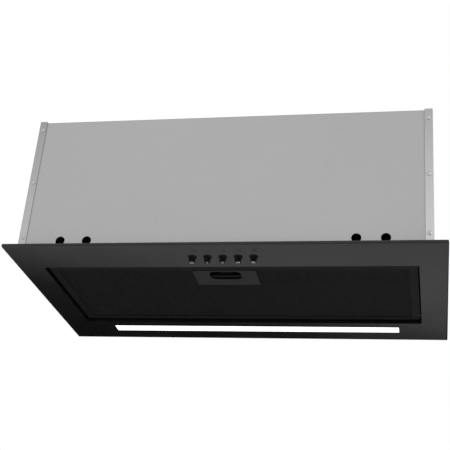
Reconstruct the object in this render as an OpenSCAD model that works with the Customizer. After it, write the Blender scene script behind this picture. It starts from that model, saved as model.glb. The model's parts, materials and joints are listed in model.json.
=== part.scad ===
// Built-in range hood. A galvanised housing holds a double-inlet blower with its outlet on top. A painted
// fascia closes the housing from below and carries a hinged grease filter, five push buttons and an LED strip.
// X points right, Y to the rear and Z up. The origin is in the middle of the front of the fascia's bearing
// flange, which lies against the underside of the cabinet.

/* [Fascia] */
// Width of the fascia
fascia_w = 600; // [598:1:606]
// Depth of the fascia
fascia_d = 345; // [344:1:350]
// Height of the folded edge
fascia_h = 5; // [4.5:0.5:6]
// Sheet thickness of the fascia
fascia_t = 1; // [0.8:0.1:1]
// Width of the bearing flange at the front and rear
bearing_w = 12; // [11:0.5:12]
// Width of the bearing flange at the sides
side_bearing_w = 17; // [15:0.5:17]
// Outer radius of the folded edge
fold_r = 1.9; // [1.5:0.1:2]
// Corner radius of the fascia in plan
corner_r = 3; // [2.5:0.5:4]

/* [Housing] */
// Width over the side panels
housing_w = 564; // [562:1:564]
// Depth over the lap flanges
housing_d = 320; // [319:1:320]
// Height above the bearing flange
housing_h = 204; // [204:1:210]
// Thickness of the galvanised sheet
sheet_t = 0.8; // [0.7:0.1:0.8]
// Width of the side panels' lap flanges
lap_w = 11; // [10:0.5:12]
// Outer bend radius of the front, top and rear sheet
bend_r = 2.6; // [2:0.2:3]
// Depth of that sheet's bottom lips
lip_w = 14; // [13:0.5:14]
// Height of the lowest rivet
rivet_low = 15.5; // [14:0.5:18]
// Distance between rivets up a flange
rivet_pitch = 87; // [80:1:88]

/* [Mounting holes] */
// Radius of the round holes in the front
mount_r = 6.6; // [5:0.1:7]
// Distance between the two holes of a pair
mount_pitch = 38; // [34:1:42]
// Distance from the middle to the middle of a pair
mount_x = 202; // [195:1:205]
// Height of the holes above the bearing flange
mount_z = 9.6; // [8.5:0.1:12]

/* [Opening] */
// Width of the filter opening
opening_w = 524; // [523:1:524]
// Depth of the filter opening
opening_d = 207; // [206.5:0.5:207]
// Distance from the fascia's front edge to the opening
opening_front = 69; // [69:0.5:70]
// Height of the turned-up wall round the opening
wall_h = 8; // [7:0.5:8]
// Corner radius of the opening
opening_r = 3.5; // [3:0.5:5]

/* [Filter] */
// Clearance between the filter and the opening's side walls
filter_gap = 2; // [1.8:0.1:2.2]
// Clearance behind the filter
filter_rear_gap = 2.5; // [2.5:0.1:3]
// Thickness of the filter
filter_h = 9; // [9:0.5:10]
// Sheet thickness of the filter's frame
filter_t = 0.8; // [0.6:0.1:0.8]
// Width of the frame's border at the sides and rear
border_w = 11.5; // [10:0.5:14]
// Width of the frame's border at the front
border_front = 19; // [18:0.5:20]
// Thickness of the mesh sheets
mesh_t = 0.6; // [0.4:0.1:0.6]
// Number of pleats in the core
pleats = 48; // [30:2:60]
// Radius of the hinge pins
pin_r = 2; // [1.5:0.1:2.2]
// Distance from the opening's rear wall to the hinge axis
hinge_in = 8.5; // [8.5:0.1:9]

/* [Filter handle] */
// Width of the handle plate
handle_w = 90; // [84:1:96]
// Depth of the handle plate
handle_d = 49; // [49:1:52]
// Sideways place of the handle
handle_x = -6; // [-10:1:10]
// Width of the finger recess
recess_w = 45; // [40:1:48]
// Depth of the finger recess
recess_d = 26; // [26:1:27]
// Corner radius of the finger recess
recess_r = 9; // [6:0.5:11]
// Travel of the latch
latch_travel = 5; // [3:0.5:5]

/* [Light] */
// Width of the light slot
light_w = 449; // [440:1:450]
// Depth of the light slot
light_d = 21; // [19:0.5:21]
// Distance from the fascia's front edge to the light slot
light_front = 292; // [291.5:0.5:292]
// Sideways place of the light slot
light_x = 3; // [-4:1:4]
// Number of LED chips
chips = 30; // [20:1:36]

/* [Buttons] */
// Distance between buttons
button_pitch = 21; // [19:0.5:22]
// Sideways place of the middle button
button_x = 4; // [-6:1:6]
// Distance from the fascia's front edge to the buttons
button_front = 36; // [36:0.5:37]
// Radius of a button
button_r = 4.6; // [4.2:0.1:4.6]
// How far a button stands out below the fascia
button_out = 9; // [7:0.5:10]
// Travel of a button
button_travel = 3; // [2:0.5:3]

/* [Outlet] */
// Outer radius of the round spigot
spigot_r = 74.5; // [74:0.1:75]
// Height of the spigot above its flange
spigot_h = 42; // [35:1:60]

/* [Blower] */
// Radius of the impeller
impeller_r = 62; // [60:0.5:63]
// Width of the impeller
impeller_w = 100; // [90:1:100]
// Number of blades
blades = 36; // [24:2:40]
// Width over the scroll's sides
scroll_w = 120; // [118:1:120]
// Inner radius of the scroll where it starts
scroll_r0 = 70; // [69:0.5:70]
// Inner radius of the scroll where it ends
scroll_r1 = 105; // [100:1:105]
// Height of the impeller's axis
blower_z = 122; // [120:1:124]

/* [Hidden] */

$fn = 64;
paint = "#2e2e2f";
steel = "#a9aaab";
bright = "#cfd1d3";
plastic = "#1d1d1e";
grey = "#8a8c8e";
copper = "#b5703c";
green = "#2f6b45";
lit = "#fbfbf4";
rubber = "#2a2623";
over = 1;

// Fascia and housing, from the driving dimensions
front_y = -bearing_w / 2;
rear_y = front_y + fascia_d;
plate_in = fascia_t - fascia_h;
housing_front = front_y + (fascia_d - housing_d) / 2;
housing_rear = housing_front + housing_d;
half_w = housing_w / 2;
side_bend_r = 1.6;
wrap_x = half_w - side_bend_r;
wrap_front = housing_front + sheet_t;
wrap_rear = housing_rear - sheet_t;
wrap_top = housing_h - sheet_t;
top_in = wrap_top - sheet_t;
lip_top = plate_in + sheet_t;
relief = 3;
hole_play = 0.15;

// Opening, filter and hinge
opening_y0 = front_y + opening_front;
opening_y1 = opening_y0 + opening_d;
wall_top = wall_h - fascia_h;
filter_x = opening_w / 2 - filter_gap;
filter_y0 = opening_y0 + filter_gap;
filter_y1 = opening_y1 - filter_rear_gap;
mesh_y0 = filter_y0 + border_front;
hinge_y = opening_y1 - hinge_in;
hinge_z = filter_h * 2 / 3;
hinge_play = 0.08;
core_z0 = filter_t + mesh_t;
core_z1 = filter_h - filter_t - mesh_t;

// Handle and latch
handle_y0 = mesh_y0 + 1.5;
handle_y1 = handle_y0 + handle_d;
plate_proud = 0.6;
cup_in = 1.5;
cup_wall = 1.5;
cup_top = filter_h - 1;
cup_x = handle_w / 2 - cup_in;
cup_y0 = handle_y0 + cup_in;
cup_y1 = handle_y1 - cup_in;
recess_y0 = handle_y0 + 3.5;
latch_z1 = cup_top - cup_wall - 0.3;
tongue_z0 = latch_z1 - 2;
tongue_x = 9;
tongue_play = 0.5;
bar_x = 30;
bar_y0 = recess_y0 + 17;
bar_y1 = bar_y0 + 6;
keeper_t = 0.6;
keeper_reach = 1.6;

// Buttons
button_y = front_y + button_front;
collar_out = 1.6;
collar_r = button_r + 1.7;
collar_hole_r = button_r + 0.9;
collar_bore_r = button_r + 0.35;
chamber_r = 7;
chamber_top = 12;
block_top = 24;
block_x = 56;
ear_w = 10;
ear_t = 1.5;
stem_r = 2.4;
guide_r = 2.8;

// Light
light_y0 = front_y + light_front;
light_y1 = light_y0 + light_d;
channel_top = 14;
channel_x = light_w / 2 + 8;
channel_y0 = light_y0 - 5;
channel_y1 = light_y1 + 4;
board_t = 1.6;
chip_t = 0.8;

// Outlet and blower
outlet_y = housing_front + housing_d / 2;
collar_t = 3;
collar_x = 84;
spigot_in = spigot_r - 2.3;
collar_top = wrap_top + collar_t;
rod_r = 1.5;
damper_z = collar_top + 6;
flap_r = spigot_in - 1.7;
flap_t = 1.5;
ledge_w = 2.7;
ledge_z1 = damper_z - flap_t / 2 - 0.35;
ledge_z0 = ledge_z1 - 2.5;
rod_socket = 1.4;
flap_edge = 3.7;
knuckle_r = 3.2;
gasket_t = 3;
scroll_top = top_in - gasket_t;
scroll_wall = 2;
duct_d = 100;
blower_y = outlet_y + duct_d / 2 - scroll_r1;
scroll_x = scroll_w / 2;
flange_x = 70;
flange_y = 62;
screw_x = 64.5;
screw_y = 57;
screw_r = 1.95;
stud_h = 7;
lug_r = 5;
lug_out = scroll_wall + 4.4;
inlet_r = 50;
disc_t = 2.5;
ring_t = 3;
grommet_at = 58;
grommet_r = 5;
grommet_h = 4;
bracket_t = 2.5;
shaft_r = 4;
bearing_r = 11;
bearing_w_x = 7;
shell_r = 41;
shell_x0 = 5;
shell_x1 = 60.5;
shell_t = 1.5;
stator_x0 = 20;
stator_x1 = 48;
air_gap = 0.6;
rotor_r = 20;

// Electrical parts under the top sheet
box_x0 = 150;
box_x1 = 240;
box_y0 = 230;
box_y1 = 300;
box_z0 = 152.4;
box_t = 2;
gland_x = 190;
gland_y = 262;
gland_r = 8;
cord_r = 4.5;
cap_x0 = -220;
cap_x1 = -160;
cap_y = 250;
cap_r = 15;
cap_z = top_in - 17.5;
driver_x0 = 60;
driver_x1 = 140;
driver_z0 = 180;
lead_r = 2.5;

// --- Helpers ---

module along_x(x0, x1) {
  translate([x0, 0, 0]) rotate([90, 0, 90]) linear_extrude(x1 - x0) children();
}

module along_y(y0, y1) {
  translate([0, y1, 0]) rotate([90, 0, 0]) linear_extrude(y1 - y0) children();
}

module along_z(z0, z1) {
  translate([0, 0, z0]) linear_extrude(z1 - z0) children();
}

module rect(x0, x1, y0, y1) {
  translate([x0, y0]) square([x1 - x0, y1 - y0]);
}

module round_rect(x0, x1, y0, y1, r) {
  rect(x0 + r, x1 - r, y0, y1);
  rect(x0, x1, y0 + r, y1 - r);
  for (x = [x0 + r, x1 - r], y = [y0 + r, y1 - r])
    translate([x, y]) circle(r);
}

module block(x0, x1, y0, y1, z0, z1) {
  translate([x0, y0, z0]) cube([x1 - x0, y1 - y0, z1 - z0]);
}

module rod_x(x0, x1, y, z, r) {
  translate([x0, y, z]) rotate([0, 90, 0]) cylinder(r = r, h = x1 - x0);
}

module rod_z(x, y, z0, z1, r) {
  translate([x, y, z0]) cylinder(r = r, h = z1 - z0);
}

// A tube about the X axis through y, z
module tube_x(x0, x1, y, z, r_in, r_out) {
  difference() {
    rod_x(x0, x1, y, z, r_out);
    rod_x(x0 - over, x1 + over, y, z, r_in);
  }
}

// A coil spring that stands on z = 0
module coil(r, wire_r, turns, length) {
  sides = 6;
  per_turn = 10;
  steps = turns * per_turn;
  rings = [
    for (k = [0:steps])
      let (a = 360 * k / per_turn, z = wire_r + (length - 2 * wire_r) * k / steps)
        [for (s = [0:sides - 1])
          let (b = 360 * s / sides, d = r + wire_r * cos(b)) [d * cos(a), d * sin(a), z + wire_r * sin(b)]]
  ];
  walls = [
    for (k = [0:steps - 1], s = [0:sides - 1])
      let (t = (s + 1) % sides, a = k * sides, b = a + sides)
        each [[a + s, b + s, b + t], [a + s, b + t, a + t]]
  ];
  first = [for (s = [0:sides - 1]) s];
  last = [for (s = [0:sides - 1]) steps * sides + sides - 1 - s];
  polyhedron([for (ring = rings) each ring], concat([first], walls, [last]));
}

// A pan-head screw, head up, with the underside of its head on z = 0
module pan_screw(head_r, length) {
  difference() {
    union() {
      cylinder(r = head_r, h = head_r * 0.35);
      translate([0, 0, head_r * 0.35]) cylinder(r1 = head_r, r2 = head_r * 0.7, h = head_r * 0.25);
      translate([0, 0, -length]) cylinder(r = screw_r, h = length);
    }
    for (turn = [0, 90])
      rotate(turn) translate([-head_r / 2, -0.4, head_r * 0.3]) cube([head_r, 0.8, head_r]);
  }
}

// A blind rivet through two sheets, with its head on z = 0
module rivet() {
  rivet_r = 1.6;
  head_r = 3.1;
  difference() {
    union() {
      cylinder(r = head_r, h = 0.5);
      translate([0, 0, 0.5]) cylinder(r1 = head_r, r2 = 2, h = 0.8);
      translate([0, 0, -2 * sheet_t]) cylinder(r = rivet_r, h = 2 * sheet_t);
      translate([0, 0, -2 * sheet_t - 1.4]) cylinder(r1 = 1.8, r2 = 2.5, h = 1.4);
    }
    translate([0, 0, 0.3]) cylinder(r = 0.9, h = 2);
  }
}

module rivet_hole() {
  cylinder(r = 1.6 + hole_play, h = 8, center = true);
}

module screw_hole() {
  cylinder(r = screw_r + hole_play, h = 30, center = true);
}

module at_front_rivets() {
  for (side = [-1, 1], k = [0:2])
    translate([side * (half_w - lap_w * 0.57), housing_front, rivet_low + k * rivet_pitch])
      rotate([90, 0, 0]) children();
}

module at_rear_rivets() {
  for (side = [-1, 1], k = [0:2])
    translate([side * (half_w - lap_w * 0.57), housing_rear, rivet_low + k * rivet_pitch])
      rotate([-90, 0, 0]) children();
}

module at_top_rivets() {
  for (side = [-1, 1], k = [0:2])
    translate([side * (half_w - lap_w * 0.57), housing_front + 30 + k * (housing_d - 60) / 2, housing_h])
      children();
}

module at_fascia_studs() {
  for (side = [-1, 1]) {
    for (k = [-1:1])
      translate([side * (half_w - 6), outlet_y + k * 126, plate_in]) children();
    for (y = [wrap_front + lip_w / 2, wrap_rear - lip_w / 2])
      translate([side * 130, y, plate_in]) children();
  }
}

module at_switch_studs() {
  for (side = [-1, 1])
    translate([button_x + side * (block_x + ear_w / 2), button_y, plate_in]) children();
}

module at_buttons() {
  for (k = [-2:2])
    translate([button_x + k * button_pitch, button_y, 0]) children();
}

module at_collar_screws() {
  for (x = [-screw_x, screw_x], y = [-screw_y, screw_y])
    translate([x, outlet_y + y, collar_top]) children();
}

module at_mount_holes() {
  for (side = [-1, 1], k = [-1, 1])
    translate([side * mount_x + k * mount_pitch / 2, wrap_front, mount_z]) rotate([90, 0, 0]) children();
}

module stud() {
  cylinder(r = screw_r, h = stud_h);
}

module nut() {
  difference() {
    cylinder(r = 4.2, h = 3.2, $fn = 6);
    translate([0, 0, -over]) cylinder(r = screw_r + 0.05, h = 6);
  }
}

// --- Fascia ---

// The space inside the fascia's outer skin, drawn in by inset
module folded_tray(inset) {
  x1 = fascia_w / 2 - inset;
  y0 = front_y + inset;
  y1 = rear_y - inset;
  r = fold_r - inset;
  intersection() {
    along_x(-x1, x1) round_rect(y0, y1, inset - fascia_h, -inset, r);
    along_y(y0, y1) round_rect(-x1, x1, inset - fascia_h, -inset, r);
    along_z(inset - fascia_h, -inset) round_rect(-x1, x1, y0, y1, corner_r - inset);
  }
}

module opening_outline(grow) {
  round_rect(
    -opening_w / 2 - grow, opening_w / 2 + grow, opening_y0 - grow, opening_y1 + grow, opening_r + grow
  );
}

module light_outline(shrink) {
  round_rect(
    light_x - light_w / 2 + shrink, light_x + light_w / 2 - shrink,
    light_y0 + shrink, light_y1 - shrink, 1.2
  );
}

module fascia() {
  color(paint) {
    difference() {
      folded_tray(0);
      folded_tray(fascia_t);
      along_z(-fascia_t - over, over)
        rect(
          side_bearing_w - fascia_w / 2, fascia_w / 2 - side_bearing_w, front_y + bearing_w, rear_y - bearing_w
        );
      along_z(-fascia_h - over, 0) opening_outline(0);
      along_z(-fascia_h - over, 0) light_outline(0);
      at_buttons() rod_z(0, 0, -fascia_h - over, 0, collar_hole_r);
    }
    difference() {
      along_z(-fascia_h, wall_top) opening_outline(fascia_t);
      along_z(-fascia_h - over, wall_top + over) opening_outline(0);
    }
    at_fascia_studs() stud();
    at_switch_studs() stud();
  }
}

module fascia_nuts() {
  color(bright) at_fascia_studs() translate([0, 0, sheet_t]) nut();
}

// --- Housing ---

module housing_wrap() {
  color(steel) difference() {
    along_x(-wrap_x, wrap_x) difference() {
      round_rect(wrap_front, wrap_rear, plate_in, wrap_top, bend_r);
      round_rect(wrap_front + sheet_t, wrap_rear - sheet_t, lip_top, top_in, bend_r - sheet_t);
      rect(wrap_front + lip_w, wrap_rear - lip_w, plate_in - over, lip_top + over);
    }
    at_front_rivets() rivet_hole();
    at_rear_rivets() rivet_hole();
    at_top_rivets() rivet_hole();
    at_mount_holes() cylinder(r = mount_r, h = 8, center = true);
    at_collar_screws() screw_hole();
    at_fascia_studs() screw_hole();
    rod_z(0, outlet_y, top_in - over, wrap_top + over, spigot_in);
    rod_z(gland_x, gland_y, top_in - over, wrap_top + over, gland_r + hole_play);
  }
}

module side_panel() {
  color(steel) difference() {
    union() {
      along_z(plate_in, housing_h) difference() {
        round_rect(0, half_w, housing_front, housing_rear, side_bend_r);
        round_rect(
          -lap_w, half_w - sheet_t, housing_front + sheet_t, housing_rear - sheet_t, side_bend_r - sheet_t
        );
        rect(-over, half_w - lap_w, housing_front - over, housing_rear + over);
      }
      block(
        half_w - lap_w, half_w - sheet_t / 2, housing_front + relief, housing_rear - relief,
        wrap_top, housing_h
      );
      block(
        half_w - lap_w, half_w - sheet_t / 2, wrap_front + lip_w + relief, wrap_rear - lip_w - relief,
        plate_in, lip_top
      );
    }
    at_front_rivets() rivet_hole();
    at_rear_rivets() rivet_hole();
    at_top_rivets() rivet_hole();
    at_fascia_studs() screw_hole();
  }
}

module right_side_panel() {
  side_panel();
}

module left_side_panel() {
  mirror([1, 0, 0]) side_panel();
}

module front_rivets() {
  color(bright) at_front_rivets() rivet();
}

module rear_rivets() {
  color(bright) at_rear_rivets() rivet();
}

module top_rivets() {
  color(bright) at_top_rivets() rivet();
}

// --- Grease filter ---

module filter_outline(inset) {
  round_rect(inset - filter_x, filter_x - inset, filter_y0 + inset, filter_y1 - inset, 2.5 - inset);
}

// The pocket that the latch's cup takes up in the filter
module cup_pocket() {
  block(handle_x - cup_x, handle_x + cup_x, cup_y0, cup_y1, -over, filter_h);
}

// The way that the latch's tongue takes to the filter's front
module tongue_way(y1) {
  block(
    handle_x - tongue_x - tongue_play, handle_x + tongue_x + tongue_play, filter_y0 - over, y1,
    tongue_z0 - tongue_play, latch_z1 + tongue_play
  );
}

module filter_frame() {
  color(paint) difference() {
    along_z(0, filter_h) filter_outline(0);
    along_z(filter_t, filter_h - filter_t) filter_outline(filter_t);
    along_z(-over, filter_h + over)
      rect(border_w - filter_x, filter_x - border_w, mesh_y0, filter_y1 - border_w);
    tongue_way(filter_y0 + 5);
    rod_x(-filter_x - over, filter_x + over, hinge_y, hinge_z, pin_r);
  }
}

module mesh_sheet(z0) {
  difference() {
    along_z(z0, z0 + mesh_t) filter_outline(filter_t);
    cup_pocket();
  }
}

module filter_front_mesh() {
  color(paint) mesh_sheet(filter_t);
}

module filter_rear_mesh() {
  color(grey) mesh_sheet(core_z1);
}

// One pleated sheet: its zigzag runs between the two mesh sheets
module filter_core() {
  core_gap = 0.6;
  core_x = filter_x - filter_t - core_gap;
  sheet = 0.5;
  step = 2 * core_x / pleats;
  low = [for (k = [0:pleats]) [-core_x + k * step, k % 2 == 0 ? core_z0 : core_z1 - sheet]];
  high = [for (k = [pleats:-1:0]) low[k] + [0, sheet]];
  color(grey) difference() {
    along_y(filter_y0 + filter_t + core_gap, filter_y1 - filter_t - core_gap) polygon(concat(low, high));
    cup_pocket();
    block(
      handle_x - tongue_x - tongue_play, handle_x + tongue_x + tongue_play,
      filter_y0, cup_y0 + over, 0, filter_h
    );
  }
}

module filter_pins() {
  color(bright) for (side = [-1, 1])
    rod_x(
      min(side * (filter_x - filter_t), side * (filter_x + 8)),
      max(side * (filter_x - filter_t), side * (filter_x + 8)), hinge_y, hinge_z, pin_r
    );
}

module filter_brackets() {
  x0 = filter_x + filter_gap + fascia_t + 1.5;
  color(steel) for (side = [0, 1])
    mirror([side, 0, 0]) difference() {
      union() {
        block(x0, x0 + 2, hinge_y - 7, hinge_y + 7, plate_in, hinge_z + 5);
        block(x0, x0 + 6, hinge_y - 7, hinge_y + 7, plate_in, plate_in + 1.5);
      }
      rod_x(x0 - over, x0 + 2 + over, hinge_y, hinge_z, pin_r + hinge_play);
    }
}

module filter_handle_plate() {
  color(paint) difference() {
    union() {
      along_z(-plate_proud, filter_t)
        round_rect(handle_x - handle_w / 2, handle_x + handle_w / 2, handle_y0, handle_y1, 2);
      block(handle_x - cup_x, handle_x + cup_x, cup_y0, cup_y1, 0, cup_top);
    }
    block(
      handle_x - cup_x + cup_wall, handle_x + cup_x - cup_wall, cup_y0 + cup_wall, cup_y1 - cup_wall,
      filter_t, cup_top - cup_wall
    );
    along_z(-plate_proud - over, filter_t + over)
      round_rect(
        handle_x - recess_w / 2, handle_x + recess_w / 2, recess_y0, recess_y0 + recess_d, recess_r
      );
    tongue_way(cup_y0 + cup_wall + over);
  }
}

module filter_latch() {
  color(plastic) {
    block(handle_x - bar_x, handle_x + bar_x, bar_y0, bar_y1, filter_t + 0.4, latch_z1);
    block(
      handle_x - tongue_x, handle_x + tongue_x, opening_y0 + 0.3, bar_y0 + over, tongue_z0, latch_z1
    );
  }
}

module latch_springs() {
  spring_r = 1.7;
  color(bright) for (side = [-1, 1])
    translate([handle_x + side * (bar_x - 4), bar_y1 + 0.1, (filter_t + latch_z1) / 2])
      rotate([-90, 0, 0]) coil(spring_r, 0.35, 5, cup_y1 - cup_wall - bar_y1 - 0.2);
}

// A spring clip on the opening's front wall: the tongue rests over its lip
module latch_keeper() {
  outer_y = opening_y0 - fascia_t;
  color(bright) {
    block(handle_x - 12, handle_x + 12, outer_y - keeper_t, outer_y, wall_top - 5, wall_top + keeper_t);
    block(
      handle_x - 12, handle_x + 12, outer_y - keeper_t, opening_y0 + keeper_reach,
      wall_top, wall_top + keeper_t
    );
  }
}

// --- Buttons ---

module button() {
  tip_z = -fascia_h - button_out;
  flange_z = plate_in + 1.4;
  color(plastic) {
    rod_z(0, 0, tip_z + 0.4, -fascia_h - collar_out - 2, button_r - 0.3);
    translate([0, 0, tip_z]) cylinder(r1 = button_r - 0.7, r2 = button_r - 0.3, h = 0.4);
    translate([0, 0, -fascia_h - collar_out - 2])
      cylinder(r1 = button_r - 0.3, r2 = button_r, h = 1);
    rod_z(0, 0, -fascia_h - collar_out - 1, flange_z, button_r);
    rod_z(0, 0, flange_z, flange_z + 1.2, collar_hole_r + 0.5);
    rod_z(0, 0, flange_z, block_top - 4, stem_r);
  }
}

module placed_button(k) {
  translate([button_x + (k - 3) * button_pitch, button_y, 0]) button();
}

module button_collars() {
  color(plastic) at_buttons() difference() {
    union() {
      rod_z(0, 0, -fascia_h - collar_out + 0.4, -fascia_h, collar_r);
      translate([0, 0, -fascia_h - collar_out]) cylinder(r1 = collar_r - 0.4, r2 = collar_r, h = 0.4);
      rod_z(0, 0, -fascia_h, plate_in, collar_hole_r);
      rod_z(0, 0, plate_in, plate_in + 1, collar_r);
    }
    rod_z(0, 0, -fascia_h - collar_out - over, plate_in + 1 + over, collar_bore_r);
  }
}

module button_springs() {
  spring_z0 = plate_in + 2.7;
  color(bright) at_buttons() translate([0, 0, spring_z0]) coil(3.5, 0.4, 5, chamber_top - 0.1 - spring_z0);
}

module switch_block() {
  y0 = button_y - chamber_r - 1.5;
  y1 = button_y + chamber_r + 1.5;
  color(plastic) difference() {
    union() {
      block(button_x - block_x, button_x + block_x, y0, y1, plate_in, block_top);
      block(
        button_x - block_x - ear_w, button_x + block_x + ear_w, y0, y1, plate_in, plate_in + ear_t
      );
    }
    at_buttons() rod_z(0, 0, plate_in - over, chamber_top, chamber_r);
    at_buttons() rod_z(0, 0, chamber_top - over, block_top + over, guide_r);
    at_switch_studs() screw_hole();
  }
}

module switch_nuts() {
  color(bright) at_switch_studs() translate([0, 0, ear_t]) nut();
}

// --- Light ---

module led_diffuser() {
  color(lit) {
    along_z(0.1 - fascia_h, plate_in) light_outline(0.15);
    block(
      light_x - light_w / 2 - 4, light_x + light_w / 2 + 4, light_y0 - 2.5, light_y1 + 2.5,
      plate_in, plate_in + 1.5
    );
  }
}

module led_board() {
  color(green) block(
    light_x - light_w / 2 + 2, light_x + light_w / 2 - 2, light_y0 + 4, light_y1 - 4,
    channel_top - sheet_t - board_t, channel_top - sheet_t
  );
}

module led_chips() {
  board_z = channel_top - sheet_t - board_t;
  step = (light_w - 10) / chips;
  color(lit) for (k = [0:chips - 1])
    translate([light_x + (k - (chips - 1) / 2) * step, light_y0 + light_d / 2, board_z - chip_t / 2])
      cube([3.5, 2.8, chip_t], center = true);
}

module led_channel() {
  color(steel) difference() {
    block(light_x - channel_x, light_x + channel_x, channel_y0, channel_y1, plate_in, channel_top);
    block(
      light_x - channel_x + sheet_t, light_x + channel_x - sheet_t, channel_y0 + sheet_t,
      channel_y1 - sheet_t, plate_in - over, channel_top - sheet_t
    );
    rod_z(driver_x0 + 40, light_y0 + 1.5, channel_top - 2, channel_top + over, lead_r + 0.5);
  }
}

// --- Outlet ---

module outlet_gasket() {
  color(rubber) difference() {
    block(-flange_x, flange_x, outlet_y - flange_y, outlet_y + flange_y, scroll_top, top_in);
    block(
      scroll_wall - scroll_x, scroll_x - scroll_wall, outlet_y - duct_d / 2, outlet_y + duct_d / 2,
      scroll_top - over, top_in + over
    );
    at_collar_screws() screw_hole();
  }
}

module outlet_collar() {
  color(plastic) difference() {
    union() {
      along_z(wrap_top, collar_top)
        round_rect(-collar_x, collar_x, outlet_y - collar_x, outlet_y + collar_x, 10);
      rod_z(0, outlet_y, wrap_top, collar_top + spigot_h, spigot_r);
    }
    rod_z(0, outlet_y, wrap_top - over, ledge_z0, spigot_in);
    rod_z(0, outlet_y, ledge_z1, collar_top + spigot_h + over, spigot_in);
    rod_z(0, outlet_y, ledge_z0 - over, ledge_z1 + over, spigot_in - ledge_w);
    rod_x(-spigot_in - rod_socket, spigot_in + rod_socket, outlet_y, damper_z, rod_r);
    at_collar_screws() screw_hole();
  }
}

module collar_screws() {
  color(bright) at_collar_screws() pan_screw(4, 12);
}

module damper_rod() {
  color(bright) rod_x(0.1 - spigot_in - rod_socket, spigot_in + rod_socket - 0.1, outlet_y, damper_z, rod_r);
}

// Half of a round flap, on the +Y side of the rod, with its knuckles at the given stretches along X
module damper_flap(stretches) {
  color(plastic) translate([0, outlet_y, damper_z]) difference() {
    union() {
      intersection() {
        translate([0, 0, -flap_t / 2]) cylinder(r = flap_r, h = flap_t);
        block(-spigot_r, spigot_r, flap_edge, spigot_r, -flap_t, flap_t);
      }
      for (s = stretches) {
        rod_x(s[0], s[1], 0, 0, knuckle_r);
        block(s[0], s[1], 0, flap_edge + over, -flap_t / 2, flap_t / 2);
      }
    }
    rod_x(-spigot_r, spigot_r, 0, 0, rod_r + hinge_play);
  }
}

module damper_flap_rear() {
  damper_flap([[-30, 2], [34, 62]]);
}

module damper_flap_front() {
  translate([0, 2 * outlet_y, 0]) mirror([0, 1, 0]) damper_flap([[-62, -34], [6, 30]]);
}

// --- Blower ---

function spiral_r(a) = scroll_r0 + (scroll_r1 - scroll_r0) * (a - 90) / 270;

// The scroll's outline in the YZ plane: a spiral and a straight duct up to the outlet
module scroll_outline(grow, top) {
  spiral = [
    for (a = [90:6:360])
      [blower_y + (spiral_r(a) + grow) * cos(a), blower_z + (spiral_r(a) + grow) * sin(a)]
  ];
  duct = [[outlet_y + duct_d / 2 + grow, top], [outlet_y - duct_d / 2 - grow, top]];
  polygon(concat(spiral, duct));
}

module at_scroll_lugs() {
  for (a = [120:60:300])
    translate([
      0, blower_y + (spiral_r(a) + lug_out) * cos(a), blower_z + (spiral_r(a) + lug_out) * sin(a)
    ]) children();
  translate([0, outlet_y + duct_d / 2 + lug_out, blower_z + 36]) children();
}

module at_grommets() {
  for (a = [90, 210, 330])
    translate([0, blower_y + grommet_at * cos(a), blower_z + grommet_at * sin(a)]) children();
}

// The right half of the scroll; its side wall is at +X
module scroll_half() {
  difference() {
    union() {
      difference() {
        union() {
          along_x(0, scroll_x) scroll_outline(scroll_wall, scroll_top);
          block(
            0, flange_x, outlet_y - flange_y, outlet_y + flange_y, scroll_top - scroll_wall, scroll_top
          );
        }
        along_x(-over, scroll_x - scroll_wall) scroll_outline(0, scroll_top + over);
      }
      difference() {
        at_scroll_lugs() rod_x(0, 8, 0, 0, lug_r);
        along_x(-over, 9) scroll_outline(scroll_wall / 2, scroll_top);
      }
      rod_x(scroll_x - 6, scroll_x, blower_y, blower_z, inlet_r + 2);
    }
    rod_x(scroll_x - 6 - over, scroll_x + over, blower_y, blower_z, inlet_r);
    at_scroll_lugs() rod_x(-over, 9, 0, 0, screw_r + hole_play);
    at_grommets() rod_x(scroll_x - 4, scroll_x + over, 0, 0, screw_r + hole_play);
    at_collar_screws() screw_hole();
  }
}

module scroll_right() {
  color(plastic) scroll_half();
}

module scroll_left() {
  color(plastic) mirror([1, 0, 0]) scroll_half();
}

module scroll_screws() {
  color(bright) at_scroll_lugs() translate([8, 0, 0]) rotate([0, 90, 0]) pan_screw(4, 15);
}

// Flat bars across the left inlet, which rest on the scroll's side wall
module inlet_guard() {
  bar = 2;
  color(plastic) for (y = [-42:12:42])
    let (reach = sqrt(pow(inlet_r + 6, 2) - y * y))
      block(
        -scroll_x - bar, -scroll_x, blower_y + y - bar / 2, blower_y + y + bar / 2,
        blower_z - reach, blower_z + reach
      );
}

module motor_bracket() {
  arm_x = scroll_x + grommet_h;
  arm_end = arm_x + bracket_t;
  color(steel) translate([0, blower_y, blower_z]) difference() {
    union() {
      rod_x(shell_x1, arm_end, 0, 0, shell_r);
      bearing_seat(shell_x1 - bearing_w_x);
      tube_x(arm_x, arm_end, 0, 0, 46, 48);
      for (a = [90, 210, 330]) rotate([a, 0, 0])
        difference() {
          union() {
            block(arm_x, arm_end, 20, grommet_at, -7, 7);
            rod_x(arm_x, arm_end, grommet_at, 0, 7);
          }
          rod_x(arm_x - over, arm_end + over, grommet_at, 0, screw_r + hole_play);
        }
    }
    rod_x(shell_x1 + shell_t, arm_end + over, 0, 0, shell_r - 6);
  }
}

module motor_grommets() {
  color(rubber) at_grommets() tube_x(scroll_x, scroll_x + grommet_h, 0, 0, screw_r + 0.1, grommet_r);
}

module motor_screws() {
  color(bright) at_grommets() translate([scroll_x + grommet_h + bracket_t, 0, 0])
    rotate([0, 90, 0]) pan_screw(4, 10);
}

module bearing_seat(x0) {
  tube_x(x0, x0 + bearing_w_x, 0, 0, bearing_r, bearing_r + 2);
}

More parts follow.
